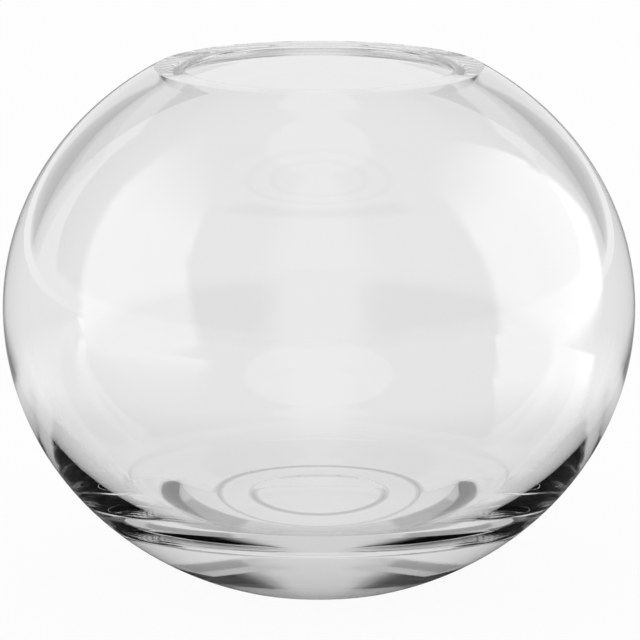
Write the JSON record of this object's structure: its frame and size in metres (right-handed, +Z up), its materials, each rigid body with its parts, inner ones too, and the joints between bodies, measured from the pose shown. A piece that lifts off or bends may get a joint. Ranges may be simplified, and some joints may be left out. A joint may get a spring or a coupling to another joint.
{
  "type": "glass ball vase",
  "caption": "Clear blown-glass ball vase: a flattened globe cut level at a wide mouth, with a thick flat-floored base on a ring foot, holding flowers or floating candles.",
  "frame": {"origin": "middle of the foot, on the surface that the vase stands on", "axes": "+Z up along the axis of the globe, out of the mouth; X and Y are equal, because the vase is round"},
  "size_m": [0.12, 0.12, 0.0984],
  "materials": {
    "clear_glass": "clear, fire-polished"
  },
  "bodies": {
    "root": {"vase_body": "clear_glass"}
  },
  "joints": []
}
